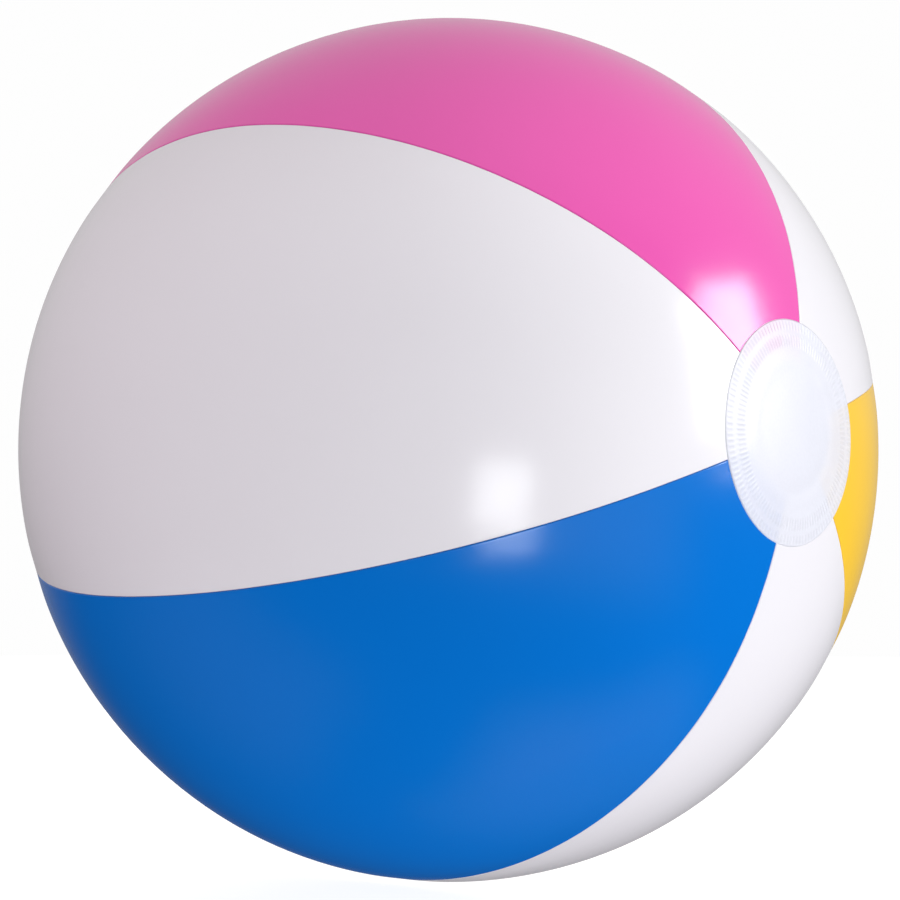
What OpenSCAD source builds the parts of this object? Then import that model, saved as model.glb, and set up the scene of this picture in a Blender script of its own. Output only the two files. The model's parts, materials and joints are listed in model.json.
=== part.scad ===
// Inflatable beach ball: six film panels welded into a ball, an end disc over each pole,
// and a push-in air valve with a tethered stopper and a one-way flap.
// Millimetres. The origin is the ball's centre, and the poles lie on the X axis.

/* [Ball] */
// Radius of the inflated ball round its equator
ball_r = 190; // [182:1:198]
// Radius of the tighter arc between equator and pole, as a share of ball_r
shoulder_share = 0.895; // [0.89:0.0025:0.9]
// Distance of that arc's centre from the polar axis, as a share of ball_r
shoulder_out = 0.095; // [0.093:0.001:0.097]
// Distance of that arc's centre from the equator, as a share of ball_r
shoulder_up = 0.056; // [0.054:0.001:0.058]

/* [Panels] */
// Azimuth of each panel's first seam, turned about +X from +Z: front white, blue, lower white
seams_front = [51, 111, 171]; // [0:1:360]
// The same for the yellow, upper white and pink panels
seams_back = [225, 285, 347]; // [0:1:360]

/* [Film] */
// Thickness of the panel film
film = 0.25; // [0.2:0.05:0.35]
// How far the welded edges of two panels reach into the ball
weld_depth = 4; // [3:0.5:6]
// Radius about the pole at which the panels stop, under the end disc
panel_end_r = 26; // [20:1:30]

/* [End discs] */
// Diameter of an end disc
disc_d = 89; // [80:1:92]
// Thickness of an end disc
disc_film = 0.45; // [0.3:0.05:0.6]
// Height of the disc's middle above the ball's centre, as a share of ball_r
disc_top_share = 0.9574; // [0.957:0.0002:0.96]
// Radius of the disc's shallow dome, as a share of ball_r
dome_share = 1.684; // [1.66:0.002:1.7]
// Width of each ring of weld on the disc
weld_ring_w = 3.1; // [2:0.1:3.5]
// How far a ring of weld stands above the disc
weld_ring_rise = 0.15; // [0.1:0.05:0.3]

/* [Valve place] */
// Azimuth of the valve, turned about +X from +Z
valve_azimuth = 320; // [300:1:340]
// Tilt of the valve's axis from the -X pole
valve_tilt = 29; // [25:1:35]
// Turn of the valve about its own axis, which puts the stopper's strap at the top
valve_spin = 136; // [0:1:359]

/* [Valve] */
// Radius of the hole in the panel
valve_hole_r = 9.5; // [9:0.5:11]
// Radius of the flange that is welded inside the panel
flange_r = 17; // [15:0.5:20]
// Thickness of the flange
flange_t = 0.4; // [0.3:0.05:0.6]
// Outer radius of the stem
stem_r = 5; // [4.8:0.1:5.2]
// Length of the stem
stem_l = 13.5; // [13.5:0.5:16]
// Radius of the bore that takes a pump's nozzle
pump_bore_r = 3.5; // [3:0.1:3.6]
// Length of that bore
pump_bore_l = 8; // [6:0.5:8]
// Radius of the mouth of the stem, which takes the stopper
mouth_r = 4; // [3.9:0.05:4.1]
// How far the stem's lip lies under the ball's surface when the valve is pushed in
lip_depth = 1; // [0.8:0.1:1.4]
// Radius of the lip, and of the stopper's cap
lip_r = 5.6; // [5.4:0.1:5.8]
// Thickness of the collar that the stem slides with
collar_t = 0.4; // [0.3:0.05:0.5]

/* [Stopper] */
// Radial clearance of the stopper in the stem's mouth
stopper_fit = 0.06; // [0.03:0.01:0.1]
// Length of the stopper's nose
nose_l = 4.9; // [4:0.1:5]
// Thickness of the stopper's cap
cap_t = 1.2; // [1:0.1:1.6]
// Distance of the stopper's hinge from the stem's axis
hinge_out = 6.9; // [6.9:0.1:7]
// Width of the strap
strap_w = 4; // [3:0.5:5]
// Thickness of the strap
strap_t = 0.8; // [0.6:0.1:0.8]
// Reach of the pull tab from the stem's axis
tab_reach = 7.8; // [7:0.1:7.8]

/* [Flap] */
// Radius of the one-way flap
flap_r = 4.6; // [4.2:0.1:4.8]
// Thickness of the flap
flap_t = 0.4; // [0.3:0.05:0.5]
// Gap between the flap and the end of the stem that it closes
flap_gap = 0.1; // [0.05:0.05:0.2]
// Distance of the flap's hinge from the stem's axis
flap_hinge_out = 5.6; // [5.4:0.1:6]

/* [Hidden] */

seams = concat(seams_front, seams_back);
seam_gap = 0.006;          // degrees left free at each side of a panel
weld_inset = 0.05;         // how far a welded edge lies from the seam's own plane
seat_gap = 0.05;           // gap between fixed pieces that lie on each other
slack = 0.02;              // gap under the rings of weld
hairline = 0.02;           // width of the cuts that part the valve's panel into three
shoulder_r = ball_r * shoulder_share;
shoulder_c = [ball_r * shoulder_out, ball_r * shoulder_up];
shoulder_level = ball_r / 2;
disc_r = disc_d / 2;
dome_r = ball_r * dome_share;
dome_c = ball_r * disc_top_share - dome_r;
ring_outer = [disc_r - weld_ring_w, disc_r];
ring_inner = [0.82 * disc_r, 0.82 * disc_r + weld_ring_w];
lip_t = 1;
lug_l = 1.2;
hinge_level = 0.1 - lip_depth;
collar_top_r = valve_hole_r - 0.55;
collar_top = -0.6;
collar_low = -7.3;
fine = 180;
small = 48;

// ---- the ball's outline -------------------------------------------------------------------

// All of the half plane below the shoulder's level, and above it the shoulder's arc
module under_shoulder(inset) {
    translate(shoulder_c) circle(r = shoulder_r - inset, $fn = fine);
    translate([-ball_r, -2 * ball_r]) square([3 * ball_r, 2 * ball_r + shoulder_level]);
}

// The ball's section through its poles, drawn in by inset
module outline(inset) {
    intersection() {
        circle(r = ball_r - inset, $fn = fine);
        under_shoulder(inset);
        mirror([0, 1]) under_shoulder(inset);
    }
}

// The wall between two such outlines, from radius r outwards
module wall(outer, inner, r) {
    intersection() {
        difference() {
            outline(outer);
            outline(inner);
        }
        translate([r, -ball_r]) square([ball_r, 2 * ball_r]);
    }
}

// Turns the polar axis from Z to X, so that azimuth 0 is +Z and 90 is -Y
module lay_down() rotate([180, -90, 0]) children();

// ---- panels -------------------------------------------------------------------------------

// The welded edge along a panel's first seam, which stands inwards in the seam's plane
module welded_edge() {
    translate([0, weld_inset + film, 0])
        rotate([90, 0, 0])
            linear_extrude(film) wall(film / 2, film + weld_depth, panel_end_r);
}

module panel(seat) {
    width = (seams[(seat + 1) % len(seams)] - seams[seat] + 360) % 360;
    lay_down() rotate([0, 0, seams[seat]]) {
        rotate([0, 0, seam_gap])
            rotate_extrude(angle = width - 2 * seam_gap, $fn = fine)
                wall(0, film, panel_end_r);
        welded_edge();
        rotate([0, 0, width]) mirror([0, 1, 0]) welded_edge();
    }
}

module panel_white_front() color("white") panel(0);

module panel_blue() color("royalblue") panel(1);

module panel_white_lower() color("white") panel(2);

module panel_yellow() color("gold") panel(3);

// One film in three solids: hairlines that meet in the valve's hole keep each solid simple
module panel_white_upper() color("white") difference() {
    panel(4);
    at_valve() cylinder(r = valve_hole_r, h = 20, center = true, $fn = small);
    at_valve() for (turn = [-60, 60, 180])
        rotate([0, 0, turn - valve_spin]) translate([0, -hairline / 2, -2 * ball_r])
            cube([2 * ball_r, hairline, 3 * ball_r]);
}

module panel_pink() color("hotpink") panel(5);

// ---- end discs ----------------------------------------------------------------------------

// A ring of weld, which fills the gap down to the panels and stands a little above the disc
module weld_ring(span) {
    difference() {
        intersection() {
            translate([0, dome_c]) circle(r = dome_r + disc_film + weld_ring_rise, $fn = fine);
            translate([span[0], 0]) square([span[1] - span[0], ball_r]);
        }
        outline(-slack);
    }
}

module end_disc() {
    rotate_extrude($fn = fine) {
        intersection() {
            difference() {
                translate([0, dome_c]) circle(r = dome_r + disc_film, $fn = fine);
                translate([0, dome_c]) circle(r = dome_r, $fn = fine);
            }
            square([disc_r, ball_r]);
        }
        weld_ring(ring_inner);
        weld_ring(ring_outer);
    }
}

module end_disc_right() color("whitesmoke", 0.6) lay_down() end_disc();

module end_disc_left() color("whitesmoke", 0.6) lay_down() mirror([0, 0, 1]) end_disc();

// ---- valve --------------------------------------------------------------------------------

// The valve's own frame: Z leaves the ball along the stem, X points to the stopper's hinge
module at_valve() {
    lay_down() rotate([0, 0, valve_azimuth])
        translate([shoulder_c[0] + shoulder_r * sin(valve_tilt), 0,
                   -shoulder_c[1] - shoulder_r * cos(valve_tilt)])
            rotate([0, 180 - valve_tilt, 0]) rotate([0, 0, valve_spin]) children();
}

module valve_flange() color("ghostwhite") difference() {
    intersection() {
        lay_down() rotate_extrude($fn = fine)
            wall(film + seat_gap, film + seat_gap + flange_t, panel_end_r);
        at_valve() cylinder(r = flange_r, h = 30, center = true, $fn = small);
    }
    at_valve() cylinder(r = valve_hole_r - 0.5, h = 20, center = true, $fn = small);
}

// A soft cone from the flange to the middle of the stem: it turns inside out as the stem moves
module valve_collar() color("ghostwhite") at_valve() rotate_extrude($fn = small)
    polygon([[collar_top_r - collar_t, collar_top], [collar_top_r, collar_top],
             [stem_r + seat_gap + collar_t, collar_low], [stem_r + seat_gap, collar_low]]);

module valve_stem() color("ghostwhite") at_valve() difference() {
    union() {
        translate([0, 0, -lip_depth - stem_l]) cylinder(r = stem_r, h = stem_l, $fn = small);
        translate([0, 0, -lip_depth - lip_t]) cylinder(r = lip_r, h = lip_t, $fn = small);
        translate([stem_r - 0.5, -strap_w / 2, -lip_depth - stem_l])
            cube([flap_hinge_out + 0.9 - stem_r, strap_w, lug_l]);
    }
    translate([0, 0, -lip_depth - stem_l - 1])
        cylinder(r = pump_bore_r, h = pump_bore_l + 2, $fn = small);
    translate([0, 0, -lip_depth - stem_l + pump_bore_l])
        cylinder(r = mouth_r, h = stem_l, $fn = small);
}

// The nose's side is an arc struck from the hinge, so the nose swings out of the mouth freely
module stopper() color("ghostwhite") at_valve() {
    translate([0, 0, seat_gap - lip_depth]) cylinder(r = lip_r, h = cap_t, $fn = small);
    rotate_extrude($fn = small) intersection() {
        translate([-hinge_out, hinge_level])
            circle(r = hinge_out + mouth_r - stopper_fit, $fn = fine);
        translate([0, -lip_depth - nose_l]) square([mouth_r - stopper_fit, nose_l + 0.5]);
    }
    translate([-tab_reach, -strap_w / 2, hinge_level + 0.3])
        cube([tab_reach - lip_r + 1, strap_w, strap_t]);
}

// The strap leaves the lip, turns back round the hinge line and joins the cap
module stopper_strap() color("ghostwhite") at_valve()
    rotate([90, 0, 0]) translate([0, 0, -strap_w / 2]) linear_extrude(strap_w) {
        intersection() {
            translate([hinge_out, hinge_level]) difference() {
                circle(r = strap_t + 0.2, $fn = small);
                circle(r = 0.2, $fn = small);
            }
            translate([hinge_out, -10]) square(20);
        }
        for (level = [hinge_level - strap_t - 0.2, hinge_level + 0.2])
            translate([lip_r + seat_gap, level])
                square([hinge_out - lip_r - seat_gap + 0.05, strap_t]);
    }

// A thin disc that closes the stem's inner end and swings into the ball on its own hinge
module one_way_flap() color("lightgray") at_valve()
    translate([0, 0, -lip_depth - stem_l - flap_gap - flap_t]) {
        cylinder(r = flap_r, h = flap_t, $fn = small);
        translate([0, -1.5, 0]) cube([flap_hinge_out, 3, flap_t]);
        translate([flap_hinge_out, 1.5, flap_t / 2])
            rotate([90, 0, 0]) cylinder(r = flap_t / 2, h = 3, $fn = small);
    }

panel_white_front();
panel_blue();
panel_white_lower();
panel_yellow();
panel_white_upper();
panel_pink();
end_disc_right();
end_disc_left();
valve_flange();
valve_collar();
valve_stem();
stopper();
stopper_strap();
one_way_flap();
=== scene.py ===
import json
import math

import bmesh
import bpy
from mathutils import Matrix, Vector, noise


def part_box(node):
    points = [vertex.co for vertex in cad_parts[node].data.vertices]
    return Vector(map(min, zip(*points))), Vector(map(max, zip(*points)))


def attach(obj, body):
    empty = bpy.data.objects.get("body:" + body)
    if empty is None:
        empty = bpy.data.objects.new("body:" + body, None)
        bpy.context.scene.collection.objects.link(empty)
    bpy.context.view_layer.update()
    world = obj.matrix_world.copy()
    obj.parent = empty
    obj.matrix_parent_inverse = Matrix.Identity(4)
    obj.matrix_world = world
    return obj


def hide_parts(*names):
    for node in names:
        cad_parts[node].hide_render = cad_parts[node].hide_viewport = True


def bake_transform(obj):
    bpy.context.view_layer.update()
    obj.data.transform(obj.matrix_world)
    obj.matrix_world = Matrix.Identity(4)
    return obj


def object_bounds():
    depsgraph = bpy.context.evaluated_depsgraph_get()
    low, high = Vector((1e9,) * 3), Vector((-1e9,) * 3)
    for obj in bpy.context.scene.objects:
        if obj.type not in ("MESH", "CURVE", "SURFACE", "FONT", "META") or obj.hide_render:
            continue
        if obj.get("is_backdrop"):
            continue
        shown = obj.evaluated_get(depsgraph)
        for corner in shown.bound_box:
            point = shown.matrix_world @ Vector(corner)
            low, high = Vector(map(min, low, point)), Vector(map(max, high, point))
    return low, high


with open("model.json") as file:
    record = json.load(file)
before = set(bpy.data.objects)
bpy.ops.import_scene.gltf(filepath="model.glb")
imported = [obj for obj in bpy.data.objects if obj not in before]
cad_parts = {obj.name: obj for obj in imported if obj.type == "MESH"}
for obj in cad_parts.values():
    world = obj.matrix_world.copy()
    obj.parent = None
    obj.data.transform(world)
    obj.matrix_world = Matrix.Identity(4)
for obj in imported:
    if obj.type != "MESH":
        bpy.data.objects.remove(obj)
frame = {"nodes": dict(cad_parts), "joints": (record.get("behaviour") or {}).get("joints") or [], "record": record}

bl_info = {
    "name": "Inflatable Beach Ball",
    "version": (1, 0, 0),
    "blender": (4, 5, 0),
    "location": "3D View > Sidebar > Beach Ball",
    "description": "Builds a welded vinyl beach ball with its end discs and push-in valve",
    "category": "Add Mesh",
}

# ---------------------------------------------------------------------------------------------
# Places and sizes taken from the frame
# ---------------------------------------------------------------------------------------------

MM = 0.001
TAU = 2 * math.pi
CAD_LOW, CAD_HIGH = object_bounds()
BALL_R = CAD_HIGH.z
PANELS = {
    "panel_white_front": "white_vinyl",
    "panel_blue": "blue_vinyl",
    "panel_white_lower": "white_vinyl",
    "panel_yellow": "yellow_vinyl",
    "panel_white_upper": "white_vinyl",
    "panel_pink": "pink_vinyl",
}
VALVE_PANEL = "panel_white_upper"
DISCS = {"end_disc_right": 1, "end_disc_left": -1}


def cad_points(node):
    """The corners of a CAD node's mesh, in the row frame."""
    return [v.co for v in frame["nodes"][node].data.vertices]


def polar_radius(point):
    """Distance of a point from the ball's polar axis."""
    return math.hypot(point.y, point.z)


def azimuth(point):
    """Angle about the polar axis, from +Z towards -Y."""
    return math.atan2(-point.y, point.z)


def azimuth_span(node):
    """First and last azimuth of a panel, the first below the last."""
    rim = [p for p in cad_points(node) if polar_radius(p) > 0.9 * BALL_R]
    middle = azimuth(sum(rim, Vector()))
    turns = [(azimuth(p) - middle + math.pi) % TAU - math.pi for p in rim]
    return middle + min(turns), middle + max(turns)


def joint(name):
    """The joint of that name."""
    return next(j for j in frame["joints"] if j["name"] == name)


def mount(name):
    """The mount of that name."""
    return next(m for m in frame["record"]["mounts"] if m["name"] == name)


PANEL_END_R = min(polar_radius(p) for p in cad_points("panel_pink"))
DISC_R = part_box("end_disc_right")[1].z
POLE_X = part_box("end_disc_right")[1].x
VALVE_OUT = Vector(joint("valve_slide")["axis"]).normalized()
SOCKET = Vector(mount("pump_socket")["pos_m"])
BORE_R = mount("pump_socket")["dims"]["r_mm"] * MM
SEAT_GAP = 0.05 * MM


def height(point):
    """How far out along the stem a point lies, from the middle of the pump socket."""
    return (point - SOCKET).dot(VALVE_OUT)


STEM_TOP = max(height(p) for p in cad_points("valve_stem"))
STEM_END = min(height(p) for p in cad_points("valve_stem"))
STEM_L = STEM_TOP - STEM_END
LIP = SOCKET + VALVE_OUT * STEM_TOP
HINGE = Vector(joint("stopper_hinge")["pos_m"]) - LIP
HINGE_UP = HINGE.dot(VALVE_OUT)
HINGE_SIDE = HINGE - VALVE_OUT * HINGE_UP
HINGE_OUT = HINGE_SIDE.length
FLAP_HINGE = Vector(joint("flap_hinge")["pos_m"]) - LIP
FLAP_HINGE_UP = FLAP_HINGE.dot(VALVE_OUT)
FLAP_HINGE_OUT = (FLAP_HINGE - VALVE_OUT * FLAP_HINGE_UP).length


def valve_matrix():
    """From the valve's own frame, with Z out along the stem and X to the hinge, to the row frame."""
    x = HINGE_SIDE.normalized()
    y = VALVE_OUT.cross(x)
    turn = Matrix((x, y, VALVE_OUT)).transposed().to_4x4()
    return Matrix.Translation(LIP) @ turn


VALVE = valve_matrix()


# ---------------------------------------------------------------------------------------------
# Properties
# ---------------------------------------------------------------------------------------------


def length(name, description, default):
    """A length in metres."""
    return bpy.props.FloatProperty(
        name=name, description=description, default=default, min=0, precision=5,
        subtype="DISTANCE", unit="LENGTH",
    )


def colour(name, description, default):
    """A colour in linear light."""
    return bpy.props.FloatVectorProperty(
        name=name, description=description, default=default, size=3, min=0, max=1,
        subtype="COLOR",
    )


def share(name, description, default):
    """A number from 0 to 1."""
    return bpy.props.FloatProperty(
        name=name, description=description, default=default, min=0, max=1, subtype="FACTOR"
    )


def number(name, description, default):
    """A plain number."""
    return bpy.props.FloatProperty(name=name, description=description, default=default)


class BeachBallFilm(bpy.types.PropertyGroup):
    """Sizes and colours of the film panels."""

    film: length("Film", "Thickness of the panel film", 0.25 * MM)
    fold: length("Fold", "Radius at which the film turns into a seam", 0.5 * MM)
    weld: length("Weld", "How far a welded edge reaches into the ball", 4 * MM)
    dip: length("Seam dip", "How far the film is drawn in beside a seam", 0.3 * MM)
    dip_reach: length("Dip reach", "How far from a seam it is drawn in", 9 * MM)
    pucker: length("Pucker", "Height of the small puckers along a seam", 0.07 * MM)
    pucker_pitch: length("Pucker pitch", "Length of one pucker", 8 * MM)
    wobble: length("Wobble", "Height of the film's slow unevenness", 0.22 * MM)
    wobble_pitch: length("Wobble pitch", "Length of that unevenness", 75 * MM)
    flat_spread: number("Flat spread", "Degrees over which a pole is flattened", 25)
    drawn_spread: number("Drawn spread", "Degrees over which a disc draws the seams along", 15)
    drawn: share("Drawn share", "Share of the disc's own drift that the seams follow", 0.6)
    white: colour("White", "Colour of the white panels", (0.86, 0.85, 0.87))
    blue: colour("Blue", "Colour of the blue panel", (0.0, 0.173, 0.64))
    pink: colour("Pink", "Colour of the pink panel", (0.86, 0.095, 0.45))
    yellow: colour("Yellow", "Colour of the yellow panel", (0.97, 0.6, 0.035))
    roughness: share("Roughness", "Roughness of the film", 0.19)
    grain: length("Grain", "Depth of the film's fine grain", 0.012 * MM)


class BeachBallDisc(bpy.types.PropertyGroup):
    """Sizes and finish of the end discs."""

    film: length("Film", "Thickness of a disc", 0.4 * MM)
    drift: bpy.props.FloatVectorProperty(
        name="Drift", description="How far off the pole the +X disc is welded, along Y and Z",
        default=(2.6 * MM, -3.3 * MM), size=2, precision=5, subtype="TRANSLATION", unit="LENGTH",
    )
    teeth: bpy.props.IntProperty(
        name="Teeth", description="Weld teeth in each of the two rings", default=122
    )
    outer_from: share("Outer ring from", "Share of the radius where it starts", 0.908)
    outer_to: share("Outer ring to", "Share of the radius where it ends", 0.982)
    inner_from: share("Inner ring from", "Share of the radius where it starts", 0.757)
    inner_to: share("Inner ring to", "Share of the radius where it ends", 0.862)
    tooth: length("Tooth", "Height of a tooth over the film pressed beside it", 0.17 * MM)
    milk: colour("Milk", "Colour of the milky film", (0.73, 0.745, 0.8))
    rim_cover: share("Rim cover", "How much the disc hides of the panels under it", 0.77)
    middle_cover: share("Middle cover", "How much its middle hides", 0.98)


class BeachBallValve(bpy.types.PropertyGroup):
    """Sizes and finish of the push-in valve."""

    hole_r: length("Hole", "Radius of the hole in the panel", 9.5 * MM)
    flange_r: length("Flange", "Radius of the flange welded inside", 17 * MM)
    flange_t: length("Flange thickness", "Thickness of the flange", 0.4 * MM)
    lip_depth: length("Lip depth", "How far the lip lies under the film", 1 * MM)
    lip_r: length("Lip", "Radius of the lip and the stopper's cap", 5.6 * MM)
    lip_t: length("Lip thickness", "Thickness of the lip", 1 * MM)
    stem_r: length("Stem", "Outer radius of the stem", 5 * MM)
    mouth_r: length("Mouth", "Radius of the stem's mouth", 4 * MM)
    mouth_l: length("Mouth length", "Depth of the mouth", 5.5 * MM)
    cap_t: length("Cap", "Thickness of the stopper's cap", 1.2 * MM)
    nose_l: length("Nose", "Length of the stopper's nose", 4.9 * MM)
    nose_fit: length("Nose fit", "Clearance of the nose in the mouth", 0.06 * MM)
    strap_w: length("Strap", "Width of the strap", 4 * MM)
    strap_t: length("Strap thickness", "Thickness of the strap", 0.8 * MM)
    tab_reach: length("Tab", "Reach of the pull tab from the stem's axis", 7.8 * MM)
    collar_t: length("Collar", "Thickness of the collar", 0.35 * MM)
    collar_drop: length("Collar drop", "How far under the lip it meets the stem", 6.1 * MM)
    flap_r: length("Flap", "Radius of the one-way flap", 4.6 * MM)
    flap_t: length("Flap thickness", "Thickness of the flap", 0.4 * MM)
    clear: colour("Clear", "Colour of the valve's soft plastic", (0.86, 0.88, 0.9))


class BeachBallStage(bpy.types.PropertyGroup):
    """Camera, floor and studio light."""

    camera_azimuth: number("Camera azimuth", "Degrees round the ball, from the front", 42.25)
    camera_elevation: number("Camera elevation", "Degrees above the horizon", -4.84)
    camera_distance: number("Camera distance", "In ball radii", 5.12)
    lens: number("Lens", "Focal length in millimetres on a 36 mm sensor", 86.8)
    floor: colour("Floor", "Colour of the floor", (0.2, 0.19, 0.18))
    floor_glow: number("Floor glow", "Light given off by the floor", 0.91)
    key_radiance: number("Key light", "Radiance of the big soft box", 10)
    card_radiance: number("Front light", "Radiance of the small soft box", 5)
    fill: number("Fill light", "Strength of the wide soft boxes that aren't mirrored", 1)


# ---------------------------------------------------------------------------------------------
# Mesh helpers
# ---------------------------------------------------------------------------------------------


def smoothstep(low, high, value):
    """0 at low, 1 at high and smooth between, whichever of the two is the greater."""
    t = min(1.0, max(0.0, (value - low) / (high - low)))
    return t * t * (3 - 2 * t)


def polyline(bm, points):
    """A chain of edges through the points."""
    verts = [bm.verts.new(p) for p in points]
    edges = [bm.edges.new(pair) for pair in zip(verts, verts[1:])]
    return verts + edges


def lathe(outline, steps=64, closed=True):
    """A new bmesh: an outline of (radius, height) corners turned round Z."""
    bm = bmesh.new()
    corners = outline + outline[:1] if closed else outline
    geom = polyline(bm, [(r, 0, h) for r, h in corners])
    bmesh.ops.spin(
        bm, geom=geom, axis=(0, 0, 1), cent=(0, 0, 0), angle=TAU, steps=steps, use_merge=True
    )
    bmesh.ops.remove_doubles(bm, verts=bm.verts, dist=1e-7)
    bmesh.ops.recalc_face_normals(bm, faces=bm.faces)
    return bm


def box(bm, low, high):
    """Adds a box with those corners and returns its vertices."""
    made = bmesh.ops.create_cube(bm, size=1)["verts"]
    low, high = Vector(low), Vector(high)
    bmesh.ops.scale(bm, verts=made, vec=high - low)
    bmesh.ops.translate(bm, verts=made, vec=(low + high) / 2)
    return made


def soften(bm, radius, edges=None, segments=3, angle=0.6):
    """Rounds the edges that turn by more than an angle."""
    sharp = [
        e for e in (edges or bm.edges) if len(e.link_faces) == 2 and e.calc_face_angle() > angle
    ]
    bmesh.ops.bevel(
        bm, geom=sharp, offset=radius, offset_type="OFFSET", affect="EDGES",
        segments=segments, profile=0.5, material=-1, clamp_overlap=True,
    )


def finish_piece(bm, name, material, smooth=True):
    """Makes the object of a finished bmesh, with its material."""
    mesh = bpy.data.meshes.new(name)
    bm.to_mesh(mesh)
    bm.free()
    for polygon in mesh.polygons:
        polygon.use_smooth = smooth
    mesh.materials.append(material)
    piece = bpy.data.objects.new(name, mesh)
    bpy.context.scene.collection.objects.link(piece)
    return piece


def split_sharp(piece, angle=35):
    """Keeps hard corners crisp while the rest is shaded smooth."""
    piece.data.set_sharp_from_angle(angle=math.radians(angle))


# ---------------------------------------------------------------------------------------------
# Shader node groups and materials
# ---------------------------------------------------------------------------------------------


def new_group(name, inputs, outputs):
    """A shader node group with named sockets: (name, socket type, default) and (name, type)."""
    tree = bpy.data.node_groups.new(name, "ShaderNodeTree")
    for label, kind, default in inputs:
        socket = tree.interface.new_socket(label, in_out="INPUT", socket_type=kind)
        socket.default_value = default
    for label, kind in outputs:
        tree.interface.new_socket(label, in_out="OUTPUT", socket_type=kind)
    return tree, tree.nodes.new("NodeGroupInput"), tree.nodes.new("NodeGroupOutput")


def math_node(tree, operation, first, second=None, third=None):
    """A Math node; each operand is a socket or a number."""
    node = tree.nodes.new("ShaderNodeMath")
    node.operation = operation
    for socket, value in zip(node.inputs, (first, second, third)):
        if isinstance(value, bpy.types.NodeSocket):
            tree.links.new(value, socket)
        elif value is not None:
            socket.default_value = value
    return node.outputs[0]


def map_range(tree, value, low, high, to_low=0.0, to_high=1.0):
    """A smooth Map Range from low..high to to_low..to_high."""
    node = tree.nodes.new("ShaderNodeMapRange")
    node.interpolation_type = "SMOOTHSTEP"
    for label, given in (
        ("Value", value), ("From Min", low), ("From Max", high),
        ("To Min", to_low), ("To Max", to_high),
    ):
        if isinstance(given, bpy.types.NodeSocket):
            tree.links.new(given, node.inputs[label])
        else:
            node.inputs[label].default_value = given
    return node.outputs["Result"]


def mix_colour(tree, factor, first, second):
    """A colour mix of two sockets or colours."""
    node = tree.nodes.new("ShaderNodeMix")
    node.data_type = "RGBA"
    tree.links.new(factor, node.inputs["Factor"])
    sockets = [s for s in node.inputs if s.type == "RGBA"]
    for socket, value in zip(sockets, (first, second)):
        if isinstance(value, bpy.types.NodeSocket):
            tree.links.new(value, socket)
        else:
            socket.default_value = (*value, 1)
    return next(s for s in node.outputs if s.type == "RGBA")


def object_noise(tree, scale, detail=2.0, roughness=0.5):
    """Noise in the piece's own space, per metre."""
    place = tree.nodes.new("ShaderNodeTexCoord")
    node = tree.nodes.new("ShaderNodeTexNoise")
    tree.links.new(place.outputs["Object"], node.inputs["Vector"])
    node.inputs["Scale"].default_value = scale
    node.inputs["Detail"].default_value = detail
    node.inputs["Roughness"].default_value = roughness
    return node.outputs["Fac"]


def film_grain_group():
    """Fine grain of calendered film: a bumped normal and a roughness that varies slightly."""
    tree, given, out = new_group(
        "Film grain",
        [("Roughness", "NodeSocketFloat", 0.25), ("Spread", "NodeSocketFloat", 0.04),
         ("Grain depth", "NodeSocketFloat", 1e-5)],
        [("Roughness", "NodeSocketFloat"), ("Normal", "NodeSocketVector")],
    )
    fine = object_noise(tree, 1600, 3.0, 0.6)
    ripple = object_noise(tree, 260, 2.0, 0.5)
    patches = object_noise(tree, 14, 3.0, 0.55)
    height_mix = math_node(tree, "MULTIPLY_ADD", ripple, 0.6, fine)
    bump = tree.nodes.new("ShaderNodeBump")
    bump.inputs["Strength"].default_value = 1
    tree.links.new(given.outputs["Grain depth"], bump.inputs["Distance"])
    tree.links.new(height_mix, bump.inputs["Height"])
    centred = math_node(tree, "SUBTRACT", patches, 0.5)
    swing = math_node(tree, "MULTIPLY", centred, given.outputs["Spread"])
    rough = math_node(tree, "ADD", swing, given.outputs["Roughness"])
    tree.links.new(rough, out.inputs["Roughness"])
    tree.links.new(bump.outputs["Normal"], out.inputs["Normal"])
    return tree


def painted_seam_shade_group():
    """Paints shade on the film in the crease where it turns into a seam, and varies its colour a little at random
    elsewhere.
    """
    tree, given, out = new_group(
        "Seam line",
        [("Film", "NodeSocketColor", (1, 1, 1, 1)), ("Seam", "NodeSocketColor", (0, 0, 0, 1)),
         ("Width", "NodeSocketFloat", 0.001), ("Amount", "NodeSocketFloat", 0.5)],
        [("Colour", "NodeSocketColor")],
    )
    distance = tree.nodes.new("ShaderNodeAttribute")
    distance.attribute_name = "from_seam"
    near = map_range(tree, distance.outputs["Fac"], given.outputs["Width"], 0.0)
    waver = map_range(tree, object_noise(tree, 320, 2.0), 0.3, 0.7, 0.65, 1.0)
    strength = math_node(tree, "MULTIPLY", near, waver)
    strength = math_node(tree, "MULTIPLY", strength, given.outputs["Amount"])
    # Painted shade: the film's colour is darkened towards the seam colour in the seam's crease
    line = mix_colour(tree, strength, given.outputs["Film"], given.outputs["Seam"])
    cloud = map_range(tree, object_noise(tree, 22, 3.0), 0.35, 0.75, 0.0, 0.035)
    tree.links.new(
        mix_colour(tree, cloud, line, given.outputs["Seam"]), out.inputs["Colour"]
    )
    return tree


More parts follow.
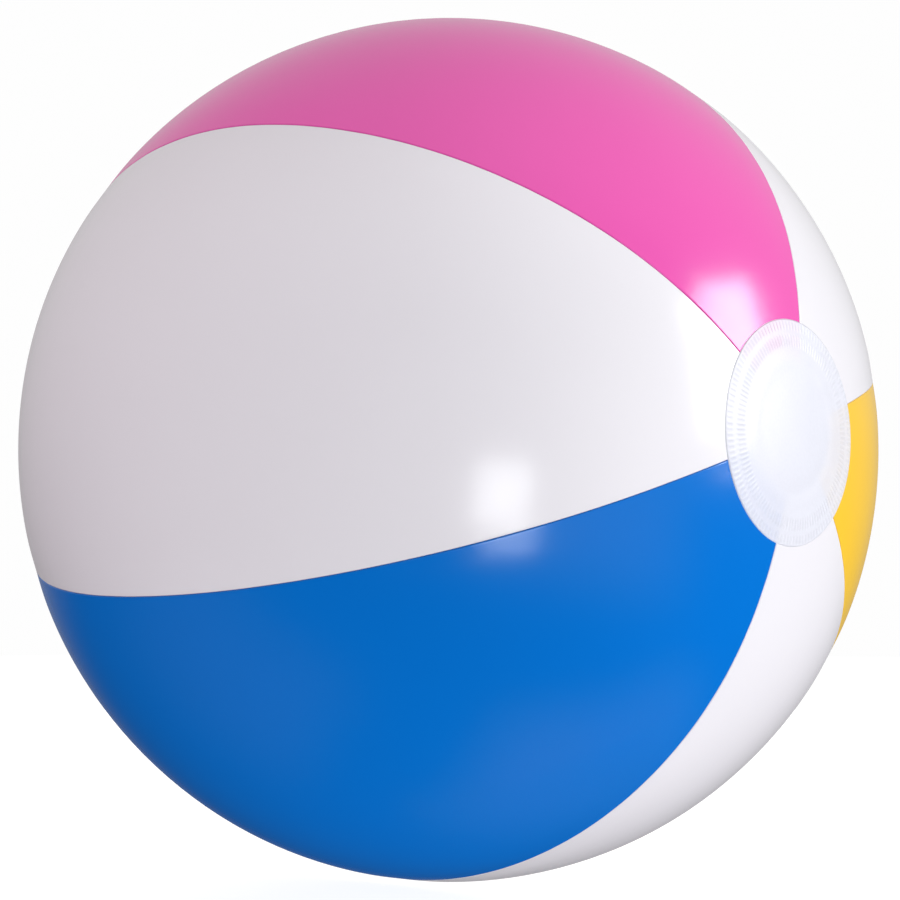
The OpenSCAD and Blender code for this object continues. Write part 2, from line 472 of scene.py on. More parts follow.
def milky_film_group():
    """Milky film whose cover and roughness change where a weld tool pressed it, and whose colour is darkened there
    as painted shade in the valleys between teeth.
    """
    tree, given, out = new_group(
        "Milky film",
        [("Milk", "NodeSocketColor", (1, 1, 1, 1)), ("Pressed", "NodeSocketColor", (1, 1, 1, 1)),
         ("Rim cover", "NodeSocketFloat", 0.9), ("Middle cover", "NodeSocketFloat", 1.0),
         ("Middle radius", "NodeSocketFloat", 0.026)],
        [("Colour", "NodeSocketColor"), ("Alpha", "NodeSocketFloat"),
         ("Roughness", "NodeSocketFloat")],
    )
    place = tree.nodes.new("ShaderNodeTexCoord")
    parts = tree.nodes.new("ShaderNodeSeparateXYZ")
    tree.links.new(place.outputs["Object"], parts.inputs["Vector"])
    y_squared = math_node(tree, "MULTIPLY", parts.outputs["Y"], parts.outputs["Y"])
    z_squared = math_node(tree, "MULTIPLY", parts.outputs["Z"], parts.outputs["Z"])
    radius = math_node(tree, "SQRT", math_node(tree, "ADD", y_squared, z_squared))
    start = math_node(tree, "MULTIPLY", given.outputs["Middle radius"], 0.7)
    edge = math_node(tree, "MULTIPLY", given.outputs["Middle radius"], 1.3)
    outside = map_range(tree, radius, start, edge)
    span = math_node(
        tree, "SUBTRACT", given.outputs["Rim cover"], given.outputs["Middle cover"]
    )
    cover = math_node(tree, "MULTIPLY_ADD", outside, span, given.outputs["Middle cover"])
    pressed = tree.nodes.new("ShaderNodeAttribute")
    pressed.attribute_name = "pressed"
    thin = math_node(tree, "MULTIPLY_ADD", pressed.outputs["Fac"], -0.05, cover)
    speckle = map_range(tree, object_noise(tree, 900, 2.0), 0.3, 0.7, -0.012, 0.012)
    tree.links.new(math_node(tree, "ADD", thin, speckle), out.inputs["Alpha"])
    # Painted shade: the colour is mixed towards a darker colour in the valleys between the teeth
    tree.links.new(
        mix_colour(tree, pressed.outputs["Fac"], given.outputs["Milk"], given.outputs["Pressed"]),
        out.inputs["Colour"],
    )
    cloud = map_range(tree, object_noise(tree, 60, 2.0), 0.3, 0.7, 0.3, 0.38)
    tree.links.new(
        math_node(tree, "MULTIPLY_ADD", pressed.outputs["Fac"], 0.1, cloud),
        out.inputs["Roughness"],
    )
    return tree


def group(tree, name, **values):
    """Places a node group in a material and sets its named inputs."""
    maker = {
        "Film grain": film_grain_group,
        "Seam line": painted_seam_shade_group,
        "Milky film": milky_film_group,
    }[name]
    node = tree.nodes.new("ShaderNodeGroup")
    node.node_tree = bpy.data.node_groups.get(name) or maker()
    for label, value in values.items():
        node.inputs[label.replace("_", " ")].default_value = value
    return node


def new_material(name, **constants):
    """A material with its shader, whose constant sockets are set here."""
    material = bpy.data.materials.new(name)
    material.use_nodes = True
    tree = material.node_tree
    shader = next(n for n in tree.nodes if n.type == "BSDF_PRINCIPLED")
    for label, value in constants.items():
        shader.inputs[label.replace("_", " ")].default_value = value
    return material, tree, shader


def shade(rgb, factor):
    """A colour scaled by a factor, with its alpha."""
    return (*[c * factor for c in rgb], 1)


def vinyl_material(name, rgb, film, painted_seam_shade):
    """Glossy calendered vinyl film."""
    found = bpy.data.materials.get(name)
    if found:
        return found
    material, tree, shader = new_material(name, IOR=1.5, Specular_IOR_Level=0.75)
    grain = group(tree, "Film grain", Roughness=film.roughness, Spread=0.05,
                  Grain_depth=film.grain)
    # The seam colour is painted shade for the crease where the film turns into a seam
    line = group(tree, "Seam line", Film=shade(rgb, 1), Seam=shade(rgb, painted_seam_shade),
                 Width=film.fold * 1.4, Amount=0.8)
    tree.links.new(line.outputs["Colour"], shader.inputs["Base Color"])
    tree.links.new(grain.outputs["Roughness"], shader.inputs["Roughness"])
    tree.links.new(grain.outputs["Normal"], shader.inputs["Normal"])
    return material


def disc_material(disc):
    """Milky translucent film with pressed weld teeth."""
    material, tree, shader = new_material("Milky disc film", IOR=1.5)
    # The darker colour in the pressed valleys between the teeth is painted shade
    milk = group(tree, "Milky film", Milk=shade(disc.milk, 1), Pressed=shade(disc.milk, 0.96),
                 Rim_cover=disc.rim_cover, Middle_cover=disc.middle_cover,
                 Middle_radius=PANEL_END_R)
    grain = group(tree, "Film grain", Roughness=0.3, Spread=0.05, Grain_depth=0.02 * MM)
    # Light passes through the disc, so that the panels under it aren't dark
    rays = tree.nodes.new("ShaderNodeLightPath")
    light = math_node(
        tree, "MAXIMUM", rays.outputs["Is Shadow Ray"], rays.outputs["Is Diffuse Ray"]
    )
    looked_at = math_node(tree, "SUBTRACT", 1.0, light)
    cover = math_node(tree, "MULTIPLY", milk.outputs["Alpha"], looked_at)
    tree.links.new(milk.outputs["Colour"], shader.inputs["Base Color"])
    tree.links.new(cover, shader.inputs["Alpha"])
    tree.links.new(milk.outputs["Roughness"], shader.inputs["Roughness"])
    tree.links.new(grain.outputs["Normal"], shader.inputs["Normal"])
    return material


def moulded_material(name, rgb, roughness, transmission):
    """Soft moulded plastic of the valve's pieces."""
    found = bpy.data.materials.get(name)
    if found:
        return found
    material, tree, shader = new_material(name, IOR=1.5, Transmission_Weight=transmission)
    grain = group(tree, "Film grain", Roughness=roughness, Spread=0.12, Grain_depth=0.015 * MM)
    cloud = map_range(tree, object_noise(tree, 400, 2.0), 0.3, 0.7)
    tree.links.new(
        mix_colour(tree, cloud, [c * 0.94 for c in rgb], list(rgb)), shader.inputs["Base Color"]
    )
    tree.links.new(grain.outputs["Roughness"], shader.inputs["Roughness"])
    tree.links.new(grain.outputs["Normal"], shader.inputs["Normal"])
    return material


# ---------------------------------------------------------------------------------------------
# The ball's shape
# ---------------------------------------------------------------------------------------------


def film_radius(polar, scene):
    """Distance from the ball's centre to the film, at an angle from the +X pole."""
    near = min(polar, math.pi - polar)
    pole = (POLE_X - scene.beach_ball_disc.film) / BALL_R
    spread = math.radians(scene.beach_ball_film.flat_spread)
    return BALL_R * (1 - (1 - pole) * math.exp(-((near / spread) ** 2)))


def on_ball(polar, turn, radius):
    """The point at a polar angle and an azimuth, at a distance from the centre."""
    ring = radius * math.sin(polar)
    return Vector((radius * math.cos(polar), -ring * math.sin(turn), ring * math.cos(turn)))


def drifted(point, amount, scene):
    """The point moved along the ball by an amount of the +X disc's drift."""
    drift = scene.beach_ball_disc.drift
    aside = Vector((0, drift[0], drift[1]))
    axis = Vector((1, 0, 0)).cross(aside)
    return Matrix.Rotation(amount * aside.length / BALL_R, 3, axis) @ point


def drawn_along(point, polar, scene):
    """The point moved as far as the +X disc draws the film there."""
    film = scene.beach_ball_film
    spread = math.radians(film.drawn_spread)
    return drifted(point, film.drawn * math.exp(-((polar / spread) ** 2)), scene)


def film_relief(point, from_seam, film):
    """How far the film stands off its even shape: seam dip, puckers and slow unevenness."""
    dip = -film.dip * math.exp(-((from_seam / film.dip_reach) ** 2))
    crease = noise.noise(point / film.pucker_pitch) * math.exp(-from_seam / (6 * MM))
    slow = noise.noise(point / film.wobble_pitch)
    return dip + film.pucker * crease + film.wobble * slow


ROWS = 320
WELD_STEPS = 2
FOLD_STEPS = 6
FACE_STEPS = 22
HALF_STEPS = WELD_STEPS + FOLD_STEPS + FACE_STEPS


def across_panel(step, half_width, film):
    """Distance from the seam and depth under the film, for a column counted from the seam."""
    clear = 0.02 * MM
    if step < WELD_STEPS:
        return clear, film.fold + film.weld * (1 - step / WELD_STEPS)
    step -= WELD_STEPS
    if step < FOLD_STEPS:
        turn = math.pi / 2 * (1 - step / FOLD_STEPS)
        return clear + film.fold * (1 - math.sin(turn)), film.fold * (1 - math.cos(turn))
    step -= FOLD_STEPS
    start = clear + film.fold
    return start + (half_width - start) * (step / FACE_STEPS) ** 1.5, 0.0


def panel_sheet(start, end, scene):
    """A bmesh of one panel's outer surface, with its edges folded into the seams."""
    film = scene.beach_ball_film
    columns = 2 * HALF_STEPS
    width = end - start
    first = math.asin(PANEL_END_R / POLE_X)
    bm = bmesh.new()
    bmesh.ops.create_grid(bm, x_segments=columns, y_segments=ROWS, size=0.5)
    from_seam = bm.verts.layers.float.new("from_seam")
    for v in bm.verts:
        column = round((v.co.x + 0.5) * columns)
        polar = first + (math.pi - 2 * first) * (v.co.y + 0.5)
        radius = film_radius(polar, scene)
        ring = radius * math.sin(polar)
        near_start = column <= HALF_STEPS
        step = column if near_start else columns - column
        aside, depth = across_panel(step, ring * width / 2, film)
        turn = start + aside / ring if near_start else end - aside / ring
        relief = film_relief(on_ball(polar, turn, radius), aside, film)
        v.co = drawn_along(on_ball(polar, turn, radius + relief - depth), polar, scene)
        v[from_seam] = aside
    return bm


def face_outwards(bm):
    """Turns every face of a sheet outwards, judged by the face nearest its middle."""
    bm.normal_update()
    middle = sum((v.co for v in bm.verts), Vector()) / len(bm.verts)
    target = middle.normalized() * BALL_R
    judge = min(bm.faces, key=lambda f: (f.calc_center_median() - target).length)
    if judge.normal.dot(judge.calc_center_median()) < 0:
        bmesh.ops.reverse_faces(bm, faces=bm.faces)


def valve_reach(point):
    """Distance of a point from the stem's axis."""
    offset = point - LIP
    return (offset - VALVE_OUT * offset.dot(VALVE_OUT)).length


FLANGE_WELD = (11 * MM, 15.5 * MM)  # reach of the ring where the flange is welded on
WELD_EDGE = 0.5 * MM
WELD_DEPTH = 0.12 * MM
FINE_REACH = 2.4  # reach of the finer mesh round the hole, in radii of the hole
WORK_REACH = 2.6
SMOOTH_REACH = 2 * MM  # how far past the hole's rim the mesh is evened out
SMOOTH_PASSES = 4


def open_valve_hole(bm, valve):
    """Cuts the round hole for the valve, and presses the ring where the flange is welded."""
    seat = LIP + VALVE_OUT * valve.lip_depth
    fine, work = FINE_REACH * valve.hole_r, WORK_REACH * valve.hole_r
    near = [f for f in bm.faces if (f.calc_center_median() - seat).length < fine]
    edges = {e for f in near for e in f.edges}
    bmesh.ops.subdivide_edges(bm, edges=list(edges), cuts=3, use_grid_fill=True)
    near = [v for v in bm.verts if (v.co - seat).length < work]
    inside = {
        f for v in near for f in v.link_faces
        if valve_reach(f.calc_center_median()) < valve.hole_r
    }
    bmesh.ops.delete(bm, geom=list(inside), context="FACES")
    for v in bm.verts:
        reach = valve_reach(v.co)
        if (v.co - seat).length > work:
            continue
        if v.is_boundary:
            up = VALVE_OUT * (v.co - LIP).dot(VALVE_OUT)
            v.co = LIP + up + (v.co - LIP - up).normalized() * valve.hole_r
        low, high = FLANGE_WELD
        ring = smoothstep(low, low + WELD_EDGE, reach) * smoothstep(high, high - WELD_EDGE, reach)
        v.co -= VALVE_OUT * WELD_DEPTH * ring
    beside = [
        v for v in bm.verts
        if not v.is_boundary and (v.co - seat).length < valve.hole_r + SMOOTH_REACH
    ]
    for _ in range(SMOOTH_PASSES):
        bmesh.ops.smooth_vert(
            bm, verts=beside, factor=0.5, use_axis_x=True, use_axis_y=True, use_axis_z=True
        )


WHITE_SEAM_PAINTED_SHADE = 0.9  # painted shade of the film in a seam's crease, as a share of the panel's colour
TINTED_SEAM_PAINTED_SHADE = 0.75


def make_panel(node, scene):
    """One film panel: its folded sheet, its thickness and its vinyl."""
    film = scene.beach_ball_film
    start, end = azimuth_span(node)
    bm = panel_sheet(start, end, scene)
    if node == VALVE_PANEL:
        open_valve_hole(bm, scene.beach_ball_valve)
    face_outwards(bm)
    slot = PANELS[node]
    tint = slot.split("_")[0]
    # Painted shade in the seam's crease, deeper on the tinted panels than on the white ones
    seam = WHITE_SEAM_PAINTED_SHADE if tint == "white" else TINTED_SEAM_PAINTED_SHADE
    material = vinyl_material(f"{tint.capitalize()} vinyl", getattr(film, tint), film, seam)
    piece = finish_piece(bm, node.replace("panel", "film"), material)
    wall = piece.modifiers.new("Film thickness", "SOLIDIFY")
    wall.thickness = film.film
    wall.offset = -1
    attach(piece, "ball")
    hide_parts(node)
    return piece


def tooth_wave(turn, teeth):
    """Height of a ring of weld teeth at an azimuth, from 0 between teeth to 1 on one."""
    return smoothstep(-0.35, 0.55, math.cos(turn * teeth))


def disc_rings(disc):
    """Shares of the disc's radius at which its mesh has a ring of corners, from the centre."""
    rings = [0, 0.05, 0.12, 0.2, 0.3, 0.4, 0.48, 0.54, 0.57, 0.6, 0.64, 0.68, 0.72]
    for low, high in ((disc.inner_from, disc.inner_to), (disc.outer_from, disc.outer_to)):
        rings.append(low - 0.012)
        rings += [low + (high - low) * t for t in (0, 0.15, 0.35, 0.65, 0.85, 1)]
        rings.append(high + 0.005)
    return rings + [1.0]


def weld_band(share_out, low, high):
    """1 inside a ring of weld and 0 outside it, by share of the disc's radius."""
    return smoothstep(low - 0.006, low + 0.01, share_out) * smoothstep(
        high + 0.006, high - 0.01, share_out
    )


WELD_BEAD = 0.12 * MM  # how far a ring of weld stands above the disc
RIM_ROUND = 0.25 * MM  # how far the disc's rim turns down
MIDDLE_DRAPE = 0.2 * MM  # how far the disc sinks where no panel lies under it


def make_disc(node, side, scene):
    """One end disc: a shallow dome with two rings of radial teeth pressed into it."""
    disc = scene.beach_ball_disc
    rings = disc_rings(disc)
    steps, last = 7 * disc.teeth, len(rings) - 1
    bm = bmesh.new()
    bmesh.ops.create_grid(bm, x_segments=steps, y_segments=last, size=0.5)
    pressed = bm.verts.layers.float.new("pressed")
    for v in bm.verts:
        turn = TAU * round((v.co.x + 0.5) * steps) / steps
        share_out = rings[round((v.co.y + 0.5) * last)]
        polar = math.asin(share_out * DISC_R / POLE_X)
        inner = weld_band(share_out, disc.inner_from, disc.inner_to)
        outer = weld_band(share_out, disc.outer_from, disc.outer_to)
        valley = (inner + outer) * (1 - tooth_wave(turn, disc.teeth))
        bead = WELD_BEAD * (inner + outer)
        rim = RIM_ROUND * smoothstep(0.985, 1.0, share_out)
        drape = MIDDLE_DRAPE * smoothstep(0.62, 0.52, share_out)
        lift = disc.film + SEAT_GAP + bead - disc.tooth * valley - rim - drape
        way = on_ball(polar, turn, 1)
        way = drifted(way, 1, scene) if side > 0 else way * Vector((-1, 1, 1))
        v.co = way * (film_radius(math.acos(way.x), scene) + lift)
        # The valley depth also sets the painted shade in the disc's colour
        v[pressed] = valley
    bmesh.ops.remove_doubles(bm, verts=bm.verts, dist=0.001 * MM)
    face_outwards(bm)
    piece = finish_piece(bm, node, bpy.data.materials["Milky disc film"])
    wall = piece.modifiers.new("Film thickness", "SOLIDIFY")
    wall.thickness = disc.film * 0.8
    wall.offset = -1
    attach(piece, "ball")
    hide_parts(node)
    return piece


# ---------------------------------------------------------------------------------------------
# The valve's pieces, drawn in the valve's own frame with the lip's top at Z 0
# ---------------------------------------------------------------------------------------------


VALVE_CURVE = 0.94 * BALL_R  # radius to which the film is curved round the valve


def film_sag(radius):
    """How far the ball's surface falls away at a distance from the valve's axis."""
    return radius * radius / (2 * VALVE_CURVE)


def valve_piece(bm, name, node, material):
    """Places a valve piece in the row frame and lets it stand for its CAD node."""
    bm.transform(VALVE)
    piece = finish_piece(bm, name, material)
    split_sharp(piece)
    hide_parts(node)
    return piece


def make_flange(valve, film, material):
    """The ring that is welded inside the panel."""
    top = valve.lip_depth - film.film - SEAT_GAP
    radii = [valve.hole_r - 0.5 * MM + (valve.flange_r - valve.hole_r) * i / 6 for i in range(7)]
    upper = [(r, top - film_sag(r)) for r in radii]
    lower = [(r, h - valve.flange_t) for r, h in reversed(upper)]
    bm = lathe(upper + lower, steps=96)
    soften(bm, 0.12 * MM, segments=2)
    piece = valve_piece(bm, "valve_flange", "valve_flange", material)
    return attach(piece, "ball")


def collar_line(valve, film):
    """The middle of the collar's wall, from the flange down to the stem."""
    top = valve.lip_depth - film.film - SEAT_GAP - film_sag(valve.hole_r) - valve.flange_t / 2
    start_r, end_r = valve.hole_r - 0.4 * MM, valve.stem_r + 0.1 * MM
    for i in range(15):
        t = i / 14
        drop = smoothstep(-0.05, 1.05, t)
        yield start_r + (end_r - start_r) * t, top - (top + valve.collar_drop) * drop


def make_collar(valve, film, material):
    """The soft cone between the flange and the stem, which on the real valve turns inside out as the stem slides.
    """
    line = list(collar_line(valve, film))
    half = valve.collar_t / 2
    outer = [(r + half, h) for r, h in line]
    inner = [(r - half, h) for r, h in reversed(line)]
    bm = lathe(outer + inner, steps=96)
    piece = valve_piece(bm, "valve_collar", "valve_collar", material)
    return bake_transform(piece)


def make_stem(valve, material):
    """The tube with its lip, its mouth for the stopper and its bore for a pump."""
    bead = -valve.collar_drop
    outline = [
        (BORE_R, -STEM_L), (valve.stem_r, -STEM_L),
        (valve.stem_r, bead - 0.5 * MM), (valve.stem_r + 0.3 * MM, bead - 0.25 * MM),
        (valve.stem_r + 0.3 * MM, bead + 0.25 * MM), (valve.stem_r, bead + 0.5 * MM),
        (valve.stem_r, -valve.lip_t), (valve.lip_r, -valve.lip_t), (valve.lip_r, 0),
        (valve.mouth_r, 0), (valve.mouth_r, -valve.mouth_l), (BORE_R, -valve.mouth_l),
    ]
    bm = lathe(outline, steps=72)
    soften(bm, 0.14 * MM)
    half = valve.strap_w / 2
    lug = bmesh.new()
    box(lug, (valve.stem_r - 0.5 * MM, -half, -STEM_L),
        (FLAP_HINGE_OUT + 0.4 * MM, half, 1.2 * MM - STEM_L))
    soften(lug, 0.2 * MM)
    join(bm, lug)
    piece = valve_piece(bm, "valve_stem", "valve_stem", material)
    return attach(piece, "stem")


def join(bm, other):
    """Adds another bmesh's geometry to the first."""
    mesh = bpy.data.meshes.new("joined")
    other.to_mesh(mesh)
    other.free()
    bm.from_mesh(mesh)
    bpy.data.meshes.remove(mesh)


def make_stopper(valve, material):
    """The cap, the nose that plugs the mouth and the pull tab."""
    nose_r = valve.mouth_r - valve.nose_fit

    def side(h):
        return math.sqrt((HINGE_OUT + nose_r) ** 2 - (h - HINGE_UP) ** 2) - HINGE_OUT

    tip = -valve.nose_l
    top = SEAT_GAP + valve.cap_t
    shoulder = tip + 0.8 * MM
    outline = [(0, tip), (0.75 * side(shoulder), tip), (side(shoulder), shoulder)]
    outline += [(side(h), h) for h in [tip * (1 - i / 6) for i in range(2, 7)]]
    outline += [
        (nose_r, SEAT_GAP), (valve.lip_r, SEAT_GAP), (valve.lip_r, top),
        (valve.lip_r - 1.2 * MM, top), (valve.lip_r - 1.7 * MM, top - 0.3 * MM),
        (0, top - 0.3 * MM),
    ]
    bm = lathe(outline, steps=72, closed=False)
    soften(bm, 0.18 * MM)
    half, level = valve.strap_w / 2, HINGE_UP + 0.3 * MM
    tab = bmesh.new()
    box(tab, (-valve.tab_reach, -half, level), (1 * MM - valve.lip_r, half, level + valve.strap_t))
    end = [e for e in tab.edges if all(v.co.x < -valve.lip_r for v in e.verts)
           and abs(e.verts[0].co.z - e.verts[1].co.z) > 0.5 * valve.strap_t]
    soften(tab, 1.4 * MM, edges=end, segments=5)
    soften(tab, 0.15 * MM, segments=2)
    join(bm, tab)
    for i in range(2):
        rib = bmesh.new()
        x = -valve.tab_reach + (0.6 + 0.7 * i) * MM
        box(rib, (x, -0.6 * half, level),
            (x + 0.3 * MM, 0.6 * half, level + valve.strap_t + 0.2 * MM))
        soften(rib, 0.1 * MM, segments=2)
        join(bm, rib)
    piece = valve_piece(bm, "stopper", "stopper", material)
    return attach(piece, "stopper")


def stretch(bm, face, offset, steps=2):
    """Extrudes a face along an offset, in steps, and returns the face at its end."""
    for _ in range(steps):
        made = bmesh.ops.extrude_face_region(bm, geom=[face])["geom"]
        bmesh.ops.delete(bm, geom=[face], context="FACES_ONLY")
        verts = [g for g in made if isinstance(g, bmesh.types.BMVert)]
        face = next(g for g in made if isinstance(g, bmesh.types.BMFace))
        bmesh.ops.translate(bm, verts=verts, vec=offset / steps)
    return face


def make_strap(valve, material):
    """The soft strap that runs from the lip round to the cap."""
    half = valve.strap_w / 2
    near, far = 0.2 * MM, 0.2 * MM + valve.strap_t
    root = valve.lip_r - 0.3 * MM
    bm = bmesh.new()
    corners = [
        bm.verts.new((root, y, HINGE_UP - d)) for y, d in
        ((-half, near), (half, near), (half, far), (-half, far))
    ]
    along = Vector((HINGE_OUT - root, 0, 0))
    face = stretch(bm, bm.faces.new(corners), along)
    made = bmesh.ops.spin(
        bm, geom=[face], axis=(0, -1, 0), cent=(HINGE_OUT, 0, HINGE_UP), angle=math.pi, steps=12
    )["geom_last"]
    bmesh.ops.delete(bm, geom=[face], context="FACES_ONLY")
    face = next(g for g in made if isinstance(g, bmesh.types.BMFace))
    stretch(bm, face, -along)
    bmesh.ops.contextual_create(bm, geom=[e for e in bm.edges if e.is_boundary])
    bmesh.ops.recalc_face_normals(bm, faces=bm.faces)
    soften(bm, 0.15 * MM, segments=2, angle=1.2)
    piece = valve_piece(bm, "stopper_strap", "stopper_strap", material)
    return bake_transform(piece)


def make_flap(valve, material):
    """The thin disc that closes the stem's inner end."""
    half = valve.flap_t / 2
    low, high = FLAP_HINGE_UP - half, FLAP_HINGE_UP + half
    bm = lathe([(0, low), (valve.flap_r, low), (valve.flap_r, high), (0, high)],
               steps=72, closed=False)
    soften(bm, 0.1 * MM, segments=2)
    arm = bmesh.new()
    box(arm, (0.6 * valve.flap_r, -1.5 * MM, low), (FLAP_HINGE_OUT + 0.15 * MM, 1.5 * MM, high))
    soften(arm, 0.12 * MM, segments=2)
    join(bm, arm)
    piece = valve_piece(bm, "one_way_flap", "one_way_flap", material)
    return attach(piece, "flap")


# ---------------------------------------------------------------------------------------------
# The stage
# ---------------------------------------------------------------------------------------------


def camera_axes(stage):
    """Right, up and backwards directions of the camera."""
    turn = math.radians(stage.camera_azimuth)
    rise = math.radians(stage.camera_elevation)
    back = Vector((math.sin(turn) * math.cos(rise), -math.cos(turn) * math.cos(rise),
                   math.sin(rise)))
    right = Vector((math.cos(turn), math.sin(turn), 0))
    return right, back.cross(right), back


def from_camera(stage, right, up, back):
    """A direction in the row frame from its parts along the camera's axes."""
    axes = camera_axes(stage)
    return sum((a * part for a, part in zip(axes, (right, up, back))), Vector())


# The two soft boxes that are mirrored in the film: a direction along the camera's axes, a
# distance, a width, a height and a tint
KEY_BOX = ((0.963, 0.25, 0.105), 1.42, 0.46, 0.6, (0.97, 0.98, 1.0))
FRONT_BOX = ((0.243, -0.195, 0.95), 1.39, 0.33, 0.43, (0.95, 0.98, 1.0))

# The room, from its dark side to its bright one, by how far a direction leans this way
ROOM_TOWARD = (0, 0.9, -0.43)
ROOM_SPAN = (-0.05, 0.8)
ROOM_LEVELS = (0.02, 0.6)
BACKDROP = 0.99

# Wide soft boxes round the ball, which light the film but aren't mirrored in it. Each has a
# name, a direction along the camera's axes, a radiance and a tint.
FILL_SIZE = 1.6
FILL_DISTANCE = 2.0
PALE = (0.97, 0.95, 1.0)
ROSE = (1.0, 0.83, 0.92)
FILLS = (
    ("Front", (0, 0.1, 1), 1.5, PALE),
    ("Left", (-1, 0.1, 0.3), 1.6, ROSE),
    ("Low left", (-0.7, -0.7, 0.1), 1.4, PALE),
    ("Low", (0.4, -0.9, -0.1), 3.5, PALE),
    ("Side", (0.7, -0.1, 0.7), 2, PALE),
    ("Top", (0, 1, 0.1), 0.6, ROSE),
    ("Back", (0, 0.2, -1), 2.5, PALE),
)


def place_camera(stage):
    """The camera at the chosen angle, looking at the ball's centre."""
    data = bpy.data.cameras.new("Camera")
    data.sensor_width = 36
    data.lens = stage.lens
    data.clip_start, data.clip_end = 0.01, 100
    camera = bpy.data.objects.new("Camera", data)
    bpy.context.scene.collection.objects.link(camera)
    back = camera_axes(stage)[2]
    camera.location = back * stage.camera_distance * BALL_R
    camera.rotation_mode = "QUATERNION"
    camera.rotation_quaternion = (-back).to_track_quat("-Z", "Y")
    bpy.context.scene.camera = camera


def soft_box(name, direction, distance, width, height_m, radiance, rgb):
    """A rectangular soft box of a given radiance, aimed at the ball's centre."""
    data = bpy.data.lights.new(name, "AREA")
    data.shape = "RECTANGLE"
    data.size, data.size_y = width, height_m
    data.energy = radiance * math.pi * width * height_m
    data.color = rgb
    lamp = bpy.data.objects.new(name, data)
    bpy.context.scene.collection.objects.link(lamp)
    lamp.location = direction.normalized() * distance
    lamp.rotation_mode = "QUATERNION"
    lamp.rotation_quaternion = direction.to_track_quat("Z", "Y")
    lamp.visible_camera = False
    return lamp


def light_world(stage):
    """A room with a bright backdrop above and behind the ball and a dark side in front."""
    world = bpy.data.worlds.new("Studio")
    bpy.context.scene.world = world
    world.use_nodes = True
    world.cycles.sampling_method = "NONE"
    tree = world.node_tree
    tree.nodes.clear()
    direction = tree.nodes.new("ShaderNodeTexCoord")
    dot = tree.nodes.new("ShaderNodeVectorMath")
    dot.operation = "DOT_PRODUCT"
    tree.links.new(direction.outputs["Generated"], dot.inputs[0])
    dot.inputs[1].default_value = from_camera(stage, *ROOM_TOWARD)
    room_level = map_range(tree, dot.outputs["Value"], *ROOM_SPAN, *ROOM_LEVELS)
    rays = tree.nodes.new("ShaderNodeLightPath")

    room = tree.nodes.new("ShaderNodeBackground")
    tree.links.new(room_level, room.inputs["Strength"])
    room.inputs["Color"].default_value = (1, 1, 1, 1)
    backdrop = tree.nodes.new("ShaderNodeBackground")
    backdrop.inputs["Color"].default_value = (1, 1, 1, 1)
    backdrop.inputs["Strength"].default_value = BACKDROP
    result = tree.nodes.new("ShaderNodeMixShader")
    tree.links.new(rays.outputs["Is Camera Ray"], result.inputs[0])
    tree.links.new(room.outputs[0], result.inputs[1])
    tree.links.new(backdrop.outputs[0], result.inputs[2])
    out = tree.nodes.new("ShaderNodeOutputWorld")
    tree.links.new(result.outputs[0], out.inputs["Surface"])


def make_floor(stage):
    """A wide pale floor under the ball."""
    bm = bmesh.new()
    bmesh.ops.create_grid(bm, x_segments=1, y_segments=1, size=8)
    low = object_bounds()[0].z
    bmesh.ops.translate(bm, verts=bm.verts, vec=(0, 0, low))
    mesh = bpy.data.meshes.new("Floor")
    bm.to_mesh(mesh)
    bm.free()
    material, tree, shader = new_material("Pale floor", Roughness=0.6)
    shader.inputs["Base Color"].default_value = (*stage.floor, 1)
    shader.inputs["Specular IOR Level"].default_value = 0.2
    shader.inputs["Emission Color"].default_value = (1, 1, 1, 1)
    shader.inputs["Emission Strength"].default_value = stage.floor_glow
    mesh.materials.append(material)
    floor = bpy.data.objects.new("Floor", mesh)
    bpy.context.scene.collection.objects.link(floor)
    floor.visible_diffuse = False
    floor.visible_glossy = False
    floor.visible_shadow = False
    floor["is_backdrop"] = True
    return floor


# ---------------------------------------------------------------------------------------------
# Operators
# ---------------------------------------------------------------------------------------------


class BEACHBALL_OT_panels(bpy.types.Operator):
    """Build the six welded film panels"""

    bl_idname = "beachball.panels"
    bl_label = "Film Panels"

    def execute(self, context):
        for node in PANELS:
            make_panel(node, context.scene)
        return {"FINISHED"}


class BEACHBALL_OT_discs(bpy.types.Operator):
    """Build the two end discs with their rings of weld teeth"""

    bl_idname = "beachball.discs"
    bl_label = "End Discs"

    def execute(self, context):
        disc_material(context.scene.beach_ball_disc)
        for node, side in DISCS.items():
            make_disc(node, side, context.scene)
        return {"FINISHED"}


class BEACHBALL_OT_valve(bpy.types.Operator):
    """Build the valve's flange, collar, stem, stopper, strap and flap"""

    bl_idname = "beachball.valve"
    bl_label = "Push-in Valve"

    def execute(self, context):
        valve, film = context.scene.beach_ball_valve, context.scene.beach_ball_film
        soft = moulded_material("Soft clear plastic", valve.clear, 0.28, 0.3)
        thin = moulded_material("Thin milky film", valve.clear, 0.4, 0.15)
        make_flange(valve, film, soft)
        make_collar(valve, film, soft)
        make_stem(valve, soft)
        make_stopper(valve, soft)
        make_strap(valve, soft)
        make_flap(valve, thin)
        return {"FINISHED"}


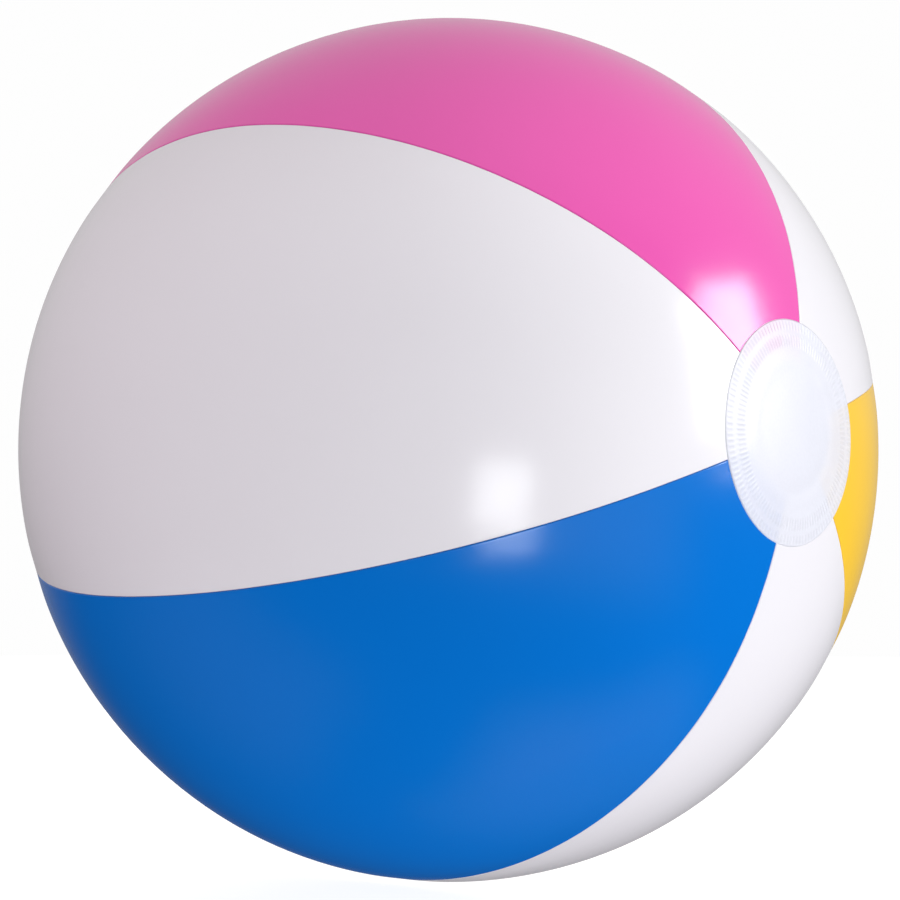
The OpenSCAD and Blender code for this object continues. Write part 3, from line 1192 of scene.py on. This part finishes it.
class BEACHBALL_OT_stage(bpy.types.Operator):
    """Set up the camera, the pale floor and the soft studio light"""

    bl_idname = "beachball.stage"
    bl_label = "Studio"

    def execute(self, context):
        stage = context.scene.beach_ball_stage
        context.scene.view_settings.view_transform = "Standard"
        place_camera(stage)
        make_floor(stage)
        light_world(stage)
        for name, box_facts, radiance in (
            ("Key", KEY_BOX, stage.key_radiance), ("Front", FRONT_BOX, stage.card_radiance),
        ):
            toward, distance, width, height_m, tint = box_facts
            soft_box(f"{name} soft box", from_camera(stage, *toward), distance, width,
                     height_m, radiance, tint)
        for name, toward, level, tint in FILLS:
            fill = soft_box(f"{name} fill", from_camera(stage, *toward), FILL_DISTANCE,
                            FILL_SIZE, FILL_SIZE, level * stage.fill, tint)
            fill.visible_glossy = False
        return {"FINISHED"}


# ---------------------------------------------------------------------------------------------
# Sidebar and registration
# ---------------------------------------------------------------------------------------------

GROUPS = {
    "beach_ball_film": BeachBallFilm,
    "beach_ball_disc": BeachBallDisc,
    "beach_ball_valve": BeachBallValve,
    "beach_ball_stage": BeachBallStage,
}
STEPS = (BEACHBALL_OT_panels, BEACHBALL_OT_discs, BEACHBALL_OT_valve, BEACHBALL_OT_stage)


class BEACHBALL_PT_sidebar(bpy.types.Panel):
    """Lists the steps that build the ball, and their sizes"""

    bl_label = "Beach Ball"
    bl_idname = "BEACHBALL_PT_sidebar"
    bl_space_type = "VIEW_3D"
    bl_region_type = "UI"
    bl_category = "Beach Ball"

    def draw(self, context):
        for step, name in zip(STEPS, GROUPS):
            column = self.layout.box().column()
            column.operator(step.bl_idname)
            settings = getattr(context.scene, name)
            for label in settings.__annotations__:
                column.prop(settings, label)


CLASSES = (*GROUPS.values(), *STEPS, BEACHBALL_PT_sidebar)


def register():
    for cls in CLASSES:
        bpy.utils.register_class(cls)
    for name, cls in GROUPS.items():
        setattr(bpy.types.Scene, name, bpy.props.PointerProperty(type=cls))


def unregister():
    for name in GROUPS:
        delattr(bpy.types.Scene, name)
    for cls in reversed(CLASSES):
        bpy.utils.unregister_class(cls)


def main():
    register()
    bpy.ops.beachball.panels()
    bpy.ops.beachball.discs()
    bpy.ops.beachball.valve()
    bpy.ops.beachball.stage()


if __name__ == "__main__":
    main()
